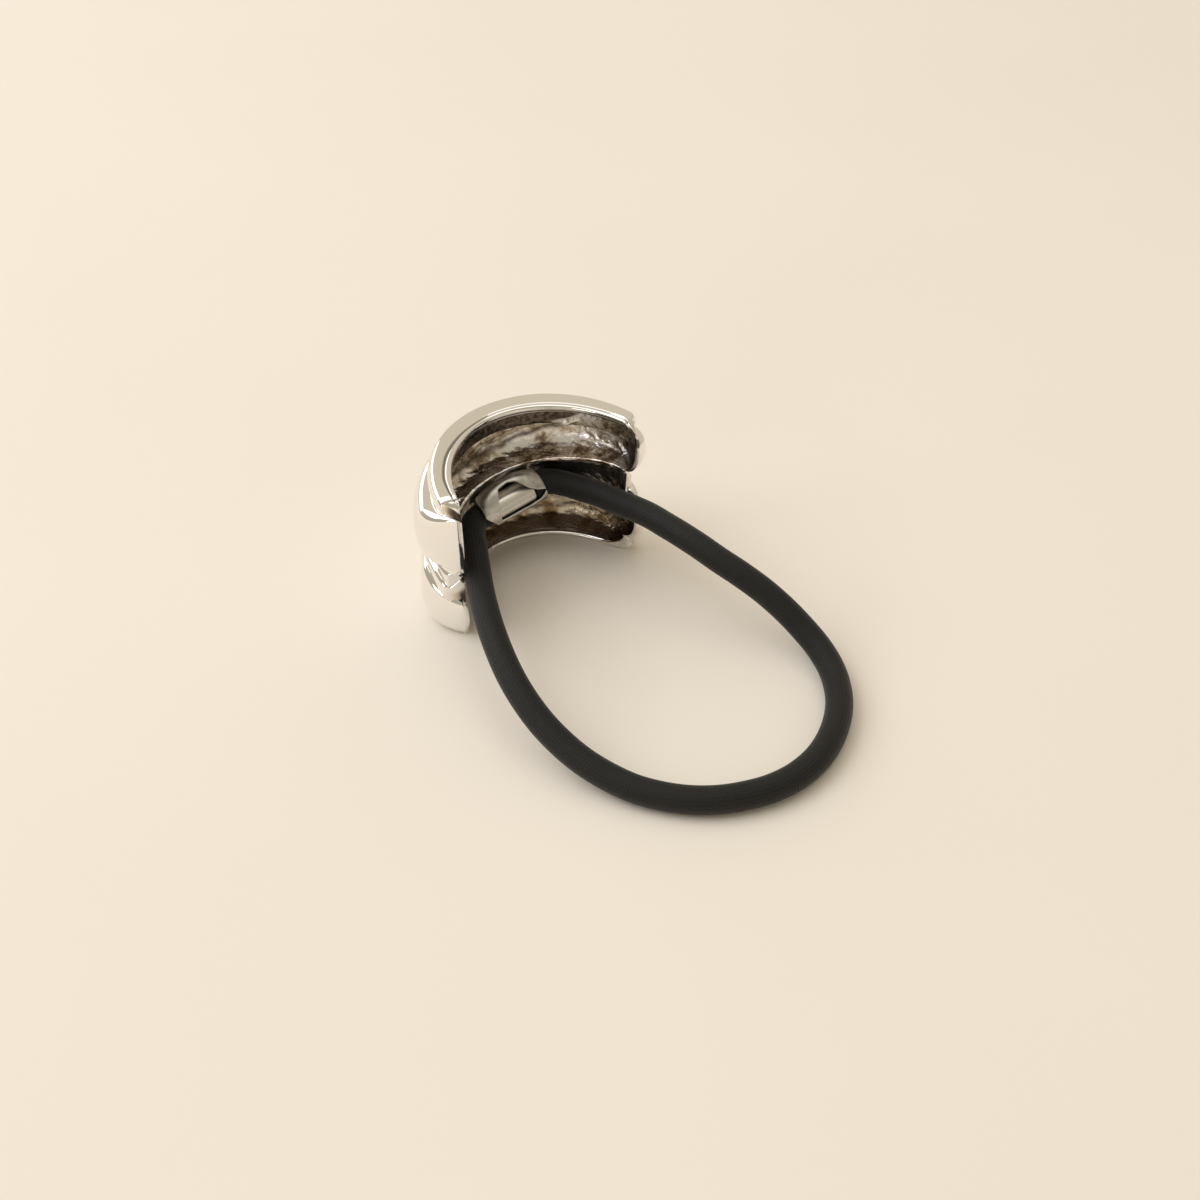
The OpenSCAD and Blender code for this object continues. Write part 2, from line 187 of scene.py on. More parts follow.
black_knit, tree, shader = new_finish("black_knit")
stitches_round = 26
stitch_rows = 30
place = put(tree, "ShaderNodeUVMap", {"uv_map": "UVMap"}).outputs[0]
split = put(tree, "ShaderNodeSeparateXYZ", Vector=place)
column = math_of(tree, "MULTIPLY", split.outputs[0], stitches_round)
slant = math_of(tree, "ABSOLUTE", math_of(tree, "SUBTRACT", math_of(tree, "FRACT", column), 0.5))
row = math_of(tree, "MULTIPLY_ADD", split.outputs[1], stitch_rows, slant)
leg = math_of(tree, "SINE", math_of(tree, "MULTIPLY", row, 2 * math.pi))
wale = math_of(tree, "SINE", math_of(tree, "MULTIPLY", math_of(tree, "FRACT", column), math.pi))
stitch = math_of(tree, "MULTIPLY", math_of(tree, "MULTIPLY_ADD", leg, 0.5, 0.5), wale)
cloud = put(tree, "ShaderNodeTexNoise", Scale=260.0, Detail=4.0,
            Vector=put(tree, "ShaderNodeTexCoord").outputs["Object"])
tone = mixed(tree, math_of(tree, "MULTIPLY", stitch, cloud.outputs["Fac"]),
             (0.0045, 0.004, 0.0032), (0.015, 0.0135, 0.0105))
tree.links.new(tone, shader.inputs["Base Color"])
bump = put(tree, "ShaderNodeBump", Strength=0.5, Distance=0.00012, Height=stitch)
tree.links.new(bump.outputs[0], shader.inputs["Normal"])
shader.inputs["Roughness"].default_value = 0.62
shader.inputs["Sheen Weight"].default_value = 0.12
shader.inputs["Sheen Roughness"].default_value = 0.4
shader.inputs["Specular IOR Level"].default_value = 0.35
elastic.data.materials.append(black_knit)
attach(elastic, "root")
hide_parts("elastic")

# Cuff
# One hollow casting in white metal, silver plated: two puffed domes with a slanting bead between
# them and a rolled bead along the top. The outside is polished, the inside is left rough as cast.

# Sizes in mm. The inner rim is half an oval, with a little more of it on the right arm
inner_w, inner_depth, arm_more, oval_half = 33, 13.4, 0.5, 20.3
cuff_h, wall, rim_t, lip_h, foot_w = 27.4, 1.2, 0.9, 0.9, 1.6
# The domes: how far they stand out, their fullness, the puff of their ends and their shoulders
dome_r, dome_end, dome_full = 6.4, 4.9, 0.56
puff_left, puff_right, shoulder_left, shoulder_right = 1.3, 2.7, 4.6, 6.5
# The top bead's widths, and the middle bead's reach, its height at each end and how it climbs
bead_back, bead_left, bead_right, bead_h, bead_full = 4.4, 3.1, 3.5, 3.3, 0.8
mid_side, mid_r, mid_end, mid_h, mid_thin = 5.3, 3.7, 2.6, 3.4, 1.8
mid_left, mid_right, swell_k, wedge_rise = 8.9, 14.6, -0.8, 3
valley_cut, valley_thin, valley_left, valley_right = 0.8, 0.6, 2.2, 2.3
# Small forms: edges and grooves, the crests between the channels, and the foot's lifted corner
edge, roll_r, line_cut, groove_cut, undercut, ceiling = 0.3, 1.35, 0.24, 0.8, 0.1, 0.5
crest_r, crest_h, crest_left, crest_right, crest_down = 0.7, 0.5, 1.7, 1.4, 1.6
corner_k, corner_h, outer_lift, foot_puff = 0.8, 3, 0.7, 0.35
foot_lip = 0.6 * foot_w
# The beads' blunt ends, which keep a share of their bulge, and the fuller ends of the left domes
left_keep, right_keep, blunt_run = 0.9, 0.7, 1.4
plain_fall, left_fall, left_run_more = 0.5, 0.9, 1
# Where the oval's middle lies in the frame
to_frame = np.array([0.2077, -8.3587])

oval_a = inner_w / 2
oval_y = inner_depth - oval_half
half_turn = math.pi / 2 - math.asin(-oval_y / oval_half)
groove_z = cuff_h - bead_h - undercut
land = 0.8 * rim_t
bead_core = cuff_h - bead_h / 2

# Stations round the C, as shares of the way from the back, 0, to the left end, -1, and to the right
# end, 1. They crowd together towards the ends
stations, crowding = 266, 1.6
k = np.linspace(-1, 1, stations)
k = np.sign(k) * (1 - (1 - np.abs(k)) ** crowding)
arm = half_turn + (k > 0) * arm_more / oval_half
puff_out = np.where(k < 0, puff_left, puff_right)
shoulder = np.where(k < 0, shoulder_left, shoulder_right)
# Shares that grow only near the left end, only near the right end, and evenly from left to right
swell = np.clip((swell_k - k) / (swell_k + 1), 0, 1) ** 1.1
late = np.clip(k, 0, 1) ** 4
rightward = (k + 1) / 2
bead_w = bead_back + np.where(k < 0, (bead_left - bead_back) * k**2, (bead_right - bead_back) * late)
dome_w = dome_r + (dome_end - dome_r) * late
mid_w = mid_side + (mid_r - mid_side) * swell + (mid_end - mid_side) * late
mid_z = mid_left + (mid_right - mid_left) * rightward
bead_z = mid_z + wedge_rise * (1 - swell) * (1 - k) / (1 - swell_k)
bead_tall = mid_thin + (mid_h - mid_thin) * swell
valley_h = valley_thin + (valley_left - valley_thin) * swell + (valley_right - valley_thin) * late
valley_r = mid_w - valley_cut
foot = corner_h * (1 - np.sqrt(1 - np.clip((k - corner_k) / (1 - corner_k), 0, 1) ** 2))

# The clamp's place, where the casting has a flat seat behind it
clamp_len, clamp_x, sheet_t, seat_gap, seat_wall, clamp_rise = 11.5, 0.8, 0.5, 0.35, 0.6, -0.3
clamp_in = elastic_d / mm / 2 + 0.1
clamp_out = clamp_in + sheet_t
clamp_t = math.acos(clamp_x / oval_a)
groove_r = mid_r - wall - seat_wall
clamp_set = groove_r - seat_gap - clamp_out - (clamp_len / 2) ** 2 * oval_half / (2 * oval_a**2)


def rim(t):
    """The inner rim's oval at angle t, (a cos t, y + b sin t), and the way straight out of it."""
    out = np.stack([np.cos(t) / oval_a, np.sin(t) / oval_half])
    return (np.stack([oval_a * np.cos(t), oval_y + oval_half * np.sin(t)]),
            out / np.linalg.norm(out, axis=0))


def rows_of(r, z, puff=0.0, is_dome=0.0, core=None):
    """Rows of the skin, each with a value for every station: distance out from the rim, height,
    share of the puff at the ends, 1 in a dome, and the height of a bead's core."""
    core = z if core is None else core
    return np.stack(np.broadcast_arrays(r, z, puff, is_dome, core, 0 * k[None])[:5])


def straight(r, z0, z1, shares):
    """Rows at one distance out, at heights z0 + (z1 - z0) * share."""
    return rows_of(r, z0 + (z1 - z0) * np.reshape(shares, (-1, 1)))


def bow(z, top, bottom):
    """The share of the puff between two heights: (4 h (1 - h)) ** (fullness / 2), where h goes from
    0 at the top to 1 at the bottom."""
    h = (top - z) / (top - bottom)
    return np.clip(4 * h * (1 - h), 0, 1) ** (bead_full / 2)


def puffed(r0, r1, z0, z1, top_r, rows, fullness, bow_top=None, core=None):
    """A dome or bead: its base runs from r0 to r1, and it stands over that by (top_r - base) *
    sin(a) ** fullness while its height follows (1 - cos a) / 2. The sine in a crowds its rows
    towards both edges. Only a dome has a bow at its end."""
    s = np.arange(1, rows + 1) / (rows + 1)
    a = np.pi * (s - 0.09 * np.sin(2 * np.pi * s))[:, None]
    share = (1 - np.cos(a)) / 2
    base, z = r0 + (r1 - r0) * share, z0 + (z1 - z0) * share
    is_dome = bow_top is not None
    return rows_of(base + (top_r - base) * np.sin(a) ** fullness, z,
                   bow(z, bow_top, z1) if is_dome else 0.0, float(is_dome), core)


def lay_round(rows, floor, run, fall, less):
    """Carries the rows round the C. The angle from the back is k times the arm's turn, and near an
    end a row's bulge over its floor sinks as (1 - q * q) ** fall, where q goes from 0 to 1 over the
    run. With a fall of a half that is a quarter of an ellipse. A bead's height closes on its core by
    knob_close in the same way, over knob_run."""
    r, z, puff, _, core = rows
    turn = arm + (puff * puff_out - less) / oval_half
    rest = (1 - np.abs(k)) * turn * oval_half
    q = np.clip(1 - rest / run, 0, 1)
    kept = (1 - q**2) ** fall
    q_knob = np.clip(1 - rest / knob_run, 0, 1)
    z = z + (core - z) * knob_close * (1 - np.sqrt(1 - q_knob**2))
    point, out = rim(np.pi / 2 - k * turn)
    flat = point + out * (floor + (r - floor) * kept) + to_frame[:, None, None]
    return np.stack([flat[0], flat[1], z + 0 * flat[0]], axis=-1) * mm


def step(x, width):
    """Goes from 0 to 1 as x goes from 0 to width, as 3 f f - 2 f f f."""
    f = np.clip(x / width, 0, 1)
    return f * f * (3 - 2 * f)


def hills(x, y, size, octaves, seed):
    """Random heights at even points, joined from neighbour to neighbour by smooth steps. Each
    further octave is half as wide and half as high."""
    total = 0 * x
    for n in range(octaves):
        gx, gy = (x - x.min()) / size * 2**n, (y - y.min()) / size * 2**n
        i, j = gx.astype(int), gy.astype(int)
        tops = np.random.default_rng(seed + n).uniform(-1, 1, (i.max() + 2, j.max() + 2))
        f, g = step(gx - i, 1), step(gy - j, 1)
        total = total + 0.5**n * ((tops[i, j] * (1 - f) + tops[i + 1, j] * f) * (1 - g)
                                  + (tops[i, j + 1] * (1 - f) + tops[i + 1, j + 1] * f) * g)
    return total


# The outside, from the rounded edge at the lip down to the foot
dome_rows, mid_rows, roll_rows, lip_rows = 58, 22, 20, 30
knob_run, knob_close, knob_out = 1.1, 0.3, 0.25
bend = np.radians([[30], [60], [90]])
roll = np.radians(np.linspace(84, -72, roll_rows))[:, None]
# The line in the bead's top, as shares of its width and depth. It widens along the left arm, and
# narrows again at that arm's end
line_shape = np.array([[-0.25, 0], [-0.05, 0], [0.2, 1], [0.7, 1], [1.05, 0], [1.25, 0]])[:, :, None]
wide_from, wide_run, narrow_run, roll_in = 0.1, 0.5, 0.2, 1.2
widened = step(-k - wide_from, wide_run) * np.clip((1 + k) / narrow_run, 0, 1)
line_in, line_out = 0.5 + 0.35 * widened, 0.9 + 0.6 * widened
line_end = line_in + (line_out - line_in) * line_shape[-1, 0]
z1, z2 = bead_z + bead_tall / 2, bead_z - bead_tall / 2
outer = np.concatenate([
    rows_of(edge * (1 - np.cos(bend)), cuff_h - edge * (1 - np.sin(bend)), core=bead_core),
    rows_of(line_in + (line_out - line_in) * line_shape[:, 0], cuff_h - line_cut * line_shape[:, 1],
            core=bead_core),
    rows_of((line_end + bead_w - roll_in) / 2, cuff_h, core=bead_core),
    rows_of(bead_w - roll_r + roll_r * np.cos(roll), bead_core + bead_h / 2 * np.sin(roll),
            core=bead_core),
    rows_of(bead_w - groove_cut, groove_z, core=bead_core),
    puffed(bead_w - groove_cut, valley_r, groove_z, z1 + valley_h, dome_w, dome_rows, dome_full, cuff_h),
    straight(valley_r, z1 + valley_h, z1, [0.05, 0.3, 0.6, 0.85, 0.98]),
    puffed(valley_r, valley_r, z1, z2, mid_w, mid_rows, bead_full, core=bead_z),
    straight(valley_r, z2 + 0.1, z2, [0, 0.5, 1]),
    puffed(valley_r, foot_w, z2, foot * outer_lift, dome_w, dome_rows, dome_full, z2),
    rows_of(np.array([[foot_w], [foot_lip], [edge]]), foot * outer_lift, foot_puff)], axis=1)

# Inside, a thin lip, a channel behind each dome, and between the channels a groove with the
# clamp's flat seat. The lip's lower edge steps back by lip_step, over a share of its rows
lip_step, step_share, foot_round = 0.3, 0.08, 0.55
point, out = rim(np.pi / 2 - k * arm)
clamp_spot, clamp_side = rim(np.array(clamp_t))
back = clamp_spot + clamp_side * (clamp_set + clamp_out + seat_gap)
seat = np.tensordot(clamp_side, back[:, None] - point, 1) / np.tensordot(clamp_side, out, 1)
depth = groove_r - (mid_r - mid_end) * np.clip(k, 0, 1) ** 2
zc1 = mid_z + mid_h / 2 + crest_left + (crest_right - crest_left) * rightward
zc2 = mid_z - mid_h / 2 - crest_down
s = np.linspace(0, 1, lip_rows)[:, None]
lip_z = cuff_h - lip_h + (groove_z - ceiling - cuff_h + lip_h) * s
lip_r = lip_step * np.clip(s / step_share, 0, 1) + (crest_r - lip_step) * s**2
inner = np.concatenate([
    rows_of(0, cuff_h - edge, bow(cuff_h - edge, cuff_h, zc1), core=bead_core),
    rows_of(lip_r, lip_z, bow(lip_z, cuff_h, zc1), core=np.minimum(lip_z, bead_core)),
    puffed(crest_r, crest_r, groove_z - ceiling, zc1, dome_w - wall, dome_rows, dome_full, cuff_h),
    straight(crest_r, zc1, zc1 - crest_h, [0.02, 0.25, 0.5, 0.75, 0.98]),
    puffed(crest_r, crest_r, zc1 - crest_h, zc2 + crest_h, np.minimum(depth, seat), mid_rows, bead_full),
    straight(crest_r, zc2 + crest_h, zc2, [0.1, 0.5, 0.95]),
    puffed(crest_r, 0, zc2, foot + foot_lip, dome_w - wall, dome_rows, dome_full, zc2),
    rows_of(0, foot + np.array([[foot_w / 2], [foot_round], [edge]]), foot_puff)], axis=1)

# At an end a dome sinks to the bare rim, and a bead keeps most of its bulge and ends bluntly
in_dome = outer[3] > 0
blunt_floor = outer[0] * np.where(k < 0, left_keep, right_keep)
floor = np.where(in_dome, np.minimum(rim_t, outer[0]), blunt_floor)
left_dome = in_dome * (k < 0)
skin_out = lay_round(outer, floor, np.where(in_dome, shoulder, blunt_run) + left_run_more * left_dome,
                     np.where(left_dome, left_fall, plain_fall), 0)
skin_in = lay_round(inner, 0, shoulder, plain_fall, land)

# Round each end the outer skin turns over the bare rim into the inner skin
shares = np.array([0.8, 0.6, 0.4, 0.25, 0.12, 0.03, 0, 0])
steps_in = np.array([0, 0, 0, 0, 0.03, 0.11, 0.25, 0.5])
turn_steps = 4
across = np.clip(np.arange(len(shares)) / turn_steps, 0, 1)


def end_face(c):
    """The columns round one end: the outer skin's floor times each share, moved in by each step,
    with its heights passing from the outer skin's to the inner skin's. A bead's end bulges by
    4 s (1 - s) of knob_out, where s is the share."""
    closed_z = [rows[1] + (rows[4] - rows[1]) * knob_close for rows in (outer, inner)]
    z, puff = (a[:, [c]] + (b - a)[:, [c]] * across for a, b in (closed_z, (outer[2], inner[2])))
    less = steps_in - knob_out * 4 * shares * (1 - shares) * (outer[4] != outer[1])[:, [c]]
    point, out = rim(np.pi / 2 - k[c] * (arm[c] + (puff * puff_out[c] - less) / oval_half))
    flat = point + out * floor[:, [c]] * shares + to_frame[:, None, None]
    return np.stack([flat[0], flat[1], z], axis=-1) * mm


def way_out(grid):
    """The way out of a grid at each point: the cross product of its two gradients."""
    normal = np.cross(np.gradient(grid, axis=0), np.gradient(grid, axis=1))
    return normal / np.maximum(np.linalg.norm(normal, axis=-1, keepdims=True), 1e-12)


def run_of(grid, axis):
    """The distance run along one axis of a grid, in mm."""
    steps = np.linalg.norm(np.diff(grid, axis=axis), axis=-1) / mm
    return np.concatenate([np.zeros_like(np.take(steps, [0], axis)), np.cumsum(steps, axis)], axis)


def soft_line(x, half_wide):
    """1 where x is 0, and less on both sides, as exp(-(x / half_wide) ** 2)."""
    return np.exp(-(x / half_wide) ** 2)


# The inside is rough from the mould, with long waves and pits, and smooth near the lip, the foot and
# the two ends. A jagged ridge runs along each channel: the upper one climbs towards both ends, most
# at the right, and the lower one keeps its share of the channel's height
lip_smooth, foot_smooth, end_smooth, smooth_fade, end_fade = 2.2, 1.5, 0.6, 1.5, 1.2
waves_deep, pits_deep, jags_high, polish_deep = 0.1, 0.05, 0.35, 0.025
upper_ridge, upper_half, lower_ridge, lower_half = 0.3, 0.55, 0.22, 0.5
upper_line = 18.5 + 6 * k + 7 * k**2
lower_share, lower_channel = 0.37, 6
down, over = run_of(skin_in, 0), run_of(skin_in, 1)
from_ends = np.minimum(over, over.max(1, keepdims=True) - over)
calm = np.clip(np.minimum(down - lip_smooth, down.max(0) - foot_smooth - down) / smooth_fade, 0, 1)
calm = calm * np.clip((from_ends - end_smooth) / end_fade, 0, 1)
rough = waves_deep * hills(over / 4, down, size=2.2, octaves=3, seed=5) \
    + pits_deep * hills(over, down, size=0.9, octaves=2, seed=11)
jagged = jags_high * hills(over, down, size=1.6, octaves=3, seed=31)
height = inner[1]
in_upper, in_lower = height > zc1, height < zc2
above_one = height - upper_line + jagged
share_up = (height - foot_lip) / (zc2 - foot_lip)
above_two = (share_up - lower_share) * lower_channel + jagged
ridges = upper_ridge * soft_line(above_one, upper_half) * in_upper \
    + lower_ridge * soft_line(above_two, lower_half) * in_lower
skin_in = skin_in + way_out(skin_in) * (calm * (ridges - rough) * mm)[..., None]

# The polished outside has only faint hand-made waves
wave = polish_deep * hills(run_of(skin_out, 1), run_of(skin_out, 0), size=6, octaves=1, seed=3)
skin_out = skin_out + way_out(skin_out) * (wave * mm)[..., None]

# One ring of columns goes round the cuff: the outside, the right end, the inside back to the left,
# and the left end. A strip of faces across the wall closes it at the lip and one at the foot
skin = np.concatenate([skin_out, end_face(-1), skin_in[:, ::-1], end_face(0)[:, ::-1]], axis=1)
ends = len(shares)
rows, columns = skin.shape[:2]
order = np.arange(-(ends // 2), stations + ends // 2)
facing = (2 * stations + ends - 1 - order) % columns
order = order % columns
strips = np.stack([order[:-1], facing[:-1], facing[1:], order[1:]], axis=-1)
foot_strips = strips[:, ::-1] + (rows - 1) * columns


def band(x, middle, half, fade):
    """1 where x is within half of the middle, and fading to 0 just inside both edges."""
    return step(half - np.abs(x - middle), fade)


def all_round(outside, right_end, values, left_end):
    """A value for each point of the skin, from the outside, the right end face, the inside and the
    left end face."""
    right_end, left_end = (np.broadcast_to(face, (rows, ends)) for face in (right_end, left_end))
    return np.concatenate([outside, right_end, values[:, ::-1], left_end[:, ::-1]], axis=1)


# Painted shade darkens the cast inside: under the lip, in a line below each ridge, over the lower ridge and
# at the right end. Copper shows through in the lower channel and in one patch of the upper
line_drop = 1.6 + 2 * k
below_upper = 0.95 * soft_line(above_one + line_drop, half_wide=0.5) * step(0.65 - k, width=0.3)
below_lower = 0.9 * soft_line(above_two + 0.75, half_wide=0.22) * in_lower
over_lower = step(above_two - 0.9, width=0.5) * (height < zc2 + crest_h)
right_dark = 0.6 * step(k - 0.9, width=0.08) + 0 * height
near_lip = np.clip((down - 0.9) / 0.4, 0, 1)
under_lip = step(above_one - 0.7, width=0.9) * (height < cuff_h - lip_h) * in_upper * near_lip
# Painted shade: the darkest of these marks where the inside is rough, and the band under the lip
painted_shade = np.maximum(calm * np.max([below_upper, below_lower, over_lower, right_dark], axis=0), under_lip)
low_copper = band(share_up, middle=0.2, half=0.3, fade=0.12) * in_lower
copper_patch = 0.6 * band(height, middle=19.5, half=1.2, fade=0.8) \
    * band(k, middle=0.45, half=0.35, fade=0.2)
coppery = calm * (low_copper + copper_patch)
cast = np.maximum(np.clip(calm * 2, 0.25, 1), near_lip * in_upper)

# Outside, painted shade darkens the line in the top bead, and the blunt left ends are painted brown round a
# dark middle as shade
none = np.zeros((rows, stations))
in_line = none.copy()
in_line[len(bend):len(bend) + len(line_shape)] = 0.75 * line_shape[:, 1]
end_z, end_core = outer[1][:, [0]], outer[4][:, [0]]
top_end = (end_core == bead_core) & (end_z < cuff_h - 0.4)
mid_end_low = (end_core == bead_z[0]) * step(bead_z[0] + 0.4 - end_z, width=0.8)
dark_left = top_end * step(0.78 - shares, width=0.25) + mid_end_low * step(0.5 - shares, width=0.25)
warm_left = top_end * np.ones_like(shares) + mid_end_low * step(0.9 - shares, width=0.3)

closed = np.concatenate([skin, skin[:, :1]], axis=1)
cuff = grid_piece("cuff_casting", skin, np.stack([run_of(closed, 1), run_of(closed, 0)], axis=-1) / 10,
                  np.concatenate([strips, foot_strips]).tolist())
# On both end faces these marks are painted shade: the top bead's ends are dark and brown
for name, parts in (("inside", (none, 0.25, cast, 0.25)),
                    ("painted_shade", (in_line, 0.85 * top_end, painted_shade, dark_left)),
                    ("coppery", (none, 0.4 * top_end, coppery, warm_left))):
    marks = cuff.data.attributes.new(name, "FLOAT", "POINT")
    marks.data.foreach_set("value", all_round(*parts).astype(np.float32).ravel())

# Bright plate outside. Inside, cloudy cast metal with copper and then painted shade over it, gritty and
# pitted
cast_silver, tree, shader = new_finish("cast_silver")
where = put(tree, "ShaderNodeTexCoord").outputs["Object"]
in_mask, painted_shade_mask, copper_and_shade_mask = (
    put(tree, "ShaderNodeAttribute", {"attribute_name": name}).outputs["Fac"]
    for name in ("inside", "painted_shade", "coppery"))
grit = put(tree, "ShaderNodeTexNoise", Vector=where, Scale=1500.0, Detail=5.0, Roughness=0.65).outputs[0]
patch = put(tree, "ShaderNodeTexNoise", Vector=where, Scale=260.0, Detail=4.0, Roughness=0.6).outputs[0]
haze = put(tree, "ShaderNodeTexNoise", Vector=where, Scale=90.0, Detail=3.0).outputs[0]
pits = put(tree, "ShaderNodeTexVoronoi", Vector=where, Scale=1300.0).outputs["Distance"]
metal = ramp_of(tree, patch, (0.36, (0.24, 0.18, 0.13)), (0.44, (0.66, 0.57, 0.47)),
                (0.52, (0.93, 0.89, 0.85)), (0.64, (0.97, 0.95, 0.98)))
copper = ramp_of(tree, patch, (0.35, (0.50, 0.30, 0.14)), (0.6, (0.90, 0.76, 0.52)))
metal = mixed(tree, math_of(tree, "MULTIPLY", copper_and_shade_mask, haze), metal, copper)
# Painted shade: a dark, gritty brown
shade_tone = ramp_of(tree, grit, (0.42, (0.06, 0.045, 0.035)), (0.66, (0.22, 0.17, 0.14)))
metal = mixed(tree, painted_shade_mask, metal, shade_tone)
plate = ramp_of(tree, haze, (0, (0.88, 0.865, 0.845)), (1, (0.95, 0.94, 0.925)))
# The top bead's end faces outside get a painted brown shade
plate = mixed(tree, math_of(tree, "MULTIPLY", copper_and_shade_mask, 0.6), plate, (0.62, 0.48, 0.28))
# Painted shade darkens the plate in the top bead's line and at its ends
plate = mixed(tree, painted_shade_mask, plate, (0.07, 0.055, 0.045))
tree.links.new(mixed(tree, in_mask, plate, metal), shader.inputs["Base Color"])
worn = math_of(tree, "MULTIPLY", in_mask, math_of(tree, "MULTIPLY_ADD", grit, 0.25, 0.0))
tree.links.new(math_of(tree, "MULTIPLY_ADD", haze, 0.08, worn), shader.inputs["Roughness"])
shader.inputs["Metallic"].default_value = 1
relief = math_of(tree, "MULTIPLY", in_mask, math_of(tree, "MULTIPLY_ADD", pits, 0.6, grit))
bump = put(tree, "ShaderNodeBump", Strength=0.6, Distance=0.00012, Height=relief)
tree.links.new(bump.outputs[0], shader.inputs["Normal"])
cuff.data.materials.append(cast_silver)
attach(cuff, "root")
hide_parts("cuff")

# Clamp
# Thin soft metal sheet, folded by hand round the elastic's joint and tacked to the casting behind
# it. Its free edges part in a leaf shape that shows the ferrule, and the upper one is wavy.
clamp_top, top_full, mouth_cut, clamp_tilt = 2, 0.6, 2.2, math.radians(8.5)
thin_t, thick_t, thin_angle = 0.15, sheet_t / 2, 30
sheet_rows, sheet_turns, bend_turns = 120, 80, 5
# The middle of the leaf and half its width in degrees, and its two edges: the share of the clamp's
# length, and the upper and the lower edge as shares of that half
leaf_mid, leaf_half = 27, 51
flap_edges = np.array([[0, -0.85, -0.92], [0.13, -0.89, -0.96], [0.34, 0.9, -1], [0.5, 1, -1],
                       [0.62, 0.8, -1], [0.75, 0.2, -1], [0.88, -0.1, -0.85], [1, -0.22, -0.3]])
turn = math.atan2(clamp_side[1], clamp_side[0]) - math.pi / 2
clamp_k = (math.pi / 2 - clamp_t) / (half_turn + arm_more / oval_half)
clamp_z = mid_left + (mid_right - mid_left) * (clamp_k + 1) / 2 + clamp_rise
clamp_mid = np.array([*(clamp_spot + clamp_side * clamp_set + to_frame), clamp_z])
clamp_axes = np.array([
    [math.cos(turn) * math.cos(clamp_tilt), math.sin(turn) * math.cos(clamp_tilt), math.sin(clamp_tilt)],
    [-math.sin(turn), math.cos(turn), 0],
    [-math.cos(turn) * math.sin(clamp_tilt), -math.sin(turn) * math.sin(clamp_tilt), math.cos(clamp_tilt)]])


def at_clamp(local):
    """Carries points from the clamp's own axes into the frame."""
    return (local @ clamp_axes + clamp_mid) * mm


s = np.linspace(0, 1, sheet_rows)[:, None]
rise = clamp_top * np.sin(np.pi * s) ** top_full
edge_turn = math.degrees(thin_t / clamp_out)
start = leaf_mid + leaf_half * np.interp(s, flap_edges[:, 0], flap_edges[:, 1]) + edge_turn
stop = 360 + leaf_mid + leaf_half * np.interp(s, flap_edges[:, 0], flap_edges[:, 2]) - edge_turn
phi = start + (stop - start) * np.linspace(0, 1, sheet_turns)[None, :]
from_edge = np.clip(np.minimum(phi - start, stop - phi) / thin_angle, 0, 1)
half_t = thin_t + (thick_t - thin_t) * from_edge
phi = np.radians(phi)
bend = np.radians(np.linspace(90, -90, bend_turns + 2))[None, 1:-1]


def sheet_point(angle, r):
    """A point of the sheet: the way along, cut back underneath at the left mouth by the square of
    the way to it, then -r cos angle, and r sin angle + rise * sin angle above the axis."""
    cut = mouth_cut * (1 - s) ** 2 * np.clip(np.sin(math.radians(leaf_mid) - angle), 0, None)
    return np.stack([(s - 0.5) * clamp_len + cut + 0 * r, -r * np.cos(angle),
                     r * np.sin(angle) + rise * np.clip(np.sin(angle), 0, None)], axis=-1)


middle = clamp_out - half_t
first, last = phi[:, :1], phi[:, -1:]
first_mid, last_mid = middle[:, :1], middle[:, -1:]
sheet = np.concatenate([
    sheet_point(phi, middle + half_t),
    sheet_point(last + thin_t * np.cos(bend) / last_mid, last_mid + thin_t * np.sin(bend)),
    sheet_point(phi[:, ::-1], (middle - half_t)[:, ::-1]),
    sheet_point(first - thin_t * np.cos(bend) / first_mid, first_mid - thin_t * np.sin(bend))], axis=1)
sheet = at_clamp(sheet)[:, ::-1]
ring = sheet.shape[1]
uv = np.stack([np.arange(ring + 1)[None, :] / ring + 0 * s, s + np.zeros((1, ring + 1))], axis=-1)
# Each mouth is closed by faces across the sheet, and by one round face at each rolled edge
cap = np.arange(sheet_turns - 1)
inner_cap = 2 * sheet_turns + bend_turns - 1 - cap
mouth = [[a, a + 1, b - 1, b] for a, b in zip(cap.tolist(), inner_cap.tolist())]
mouth.append(list(range(sheet_turns - 1, sheet_turns + bend_turns + 1)))
mouth.append(list(range(2 * sheet_turns + bend_turns - 1, ring)) + [0])
mouth = [[ring - 1 - n for n in face] for face in mouth]
far_mouth = [[(sheet_rows - 1) * ring + n for n in face[::-1]] for face in mouth]
clamp = grid_piece("clamp_sheet", sheet, uv, mouth + far_mouth)

# Worn metal, for the clamp and the ferrule: clouds of noise go from the dark to the light tone
# between the shares Low and High, and where they are light the metal is rougher by Wear
worn_metal = bpy.data.node_groups.new("worn_metal", "ShaderNodeTree")
for name, kind in (("Place", "Vector"), ("Scale", "Float"), ("Detail", "Float"), ("Grain", "Float"),
                   ("Low", "Float"), ("High", "Float"), ("Dark", "Color"), ("Light", "Color"),
                   ("Wear", "Float")):
    worn_metal.interface.new_socket(name, in_out="INPUT", socket_type="NodeSocket" + kind)
for name, kind in (("Tone", "Color"), ("Roughness", "Float"), ("Height", "Float")):
    worn_metal.interface.new_socket(name, in_out="OUTPUT", socket_type="NodeSocket" + kind)
given = worn_metal.nodes.new("NodeGroupInput").outputs
cloud = put(worn_metal, "ShaderNodeTexNoise", Vector=given["Place"], Scale=given["Scale"],
            Detail=given["Detail"], Roughness=given["Grain"]).outputs[0]
share = put(worn_metal, "ShaderNodeMapRange", Value=cloud, From_Min=given["Low"],
            From_Max=given["High"]).outputs[0]
put(worn_metal, "NodeGroupOutput", Tone=mixed(worn_metal, share, given["Dark"], given["Light"]),
    Roughness=math_of(worn_metal, "MULTIPLY_ADD", cloud, given["Wear"], 0.2), Height=cloud)

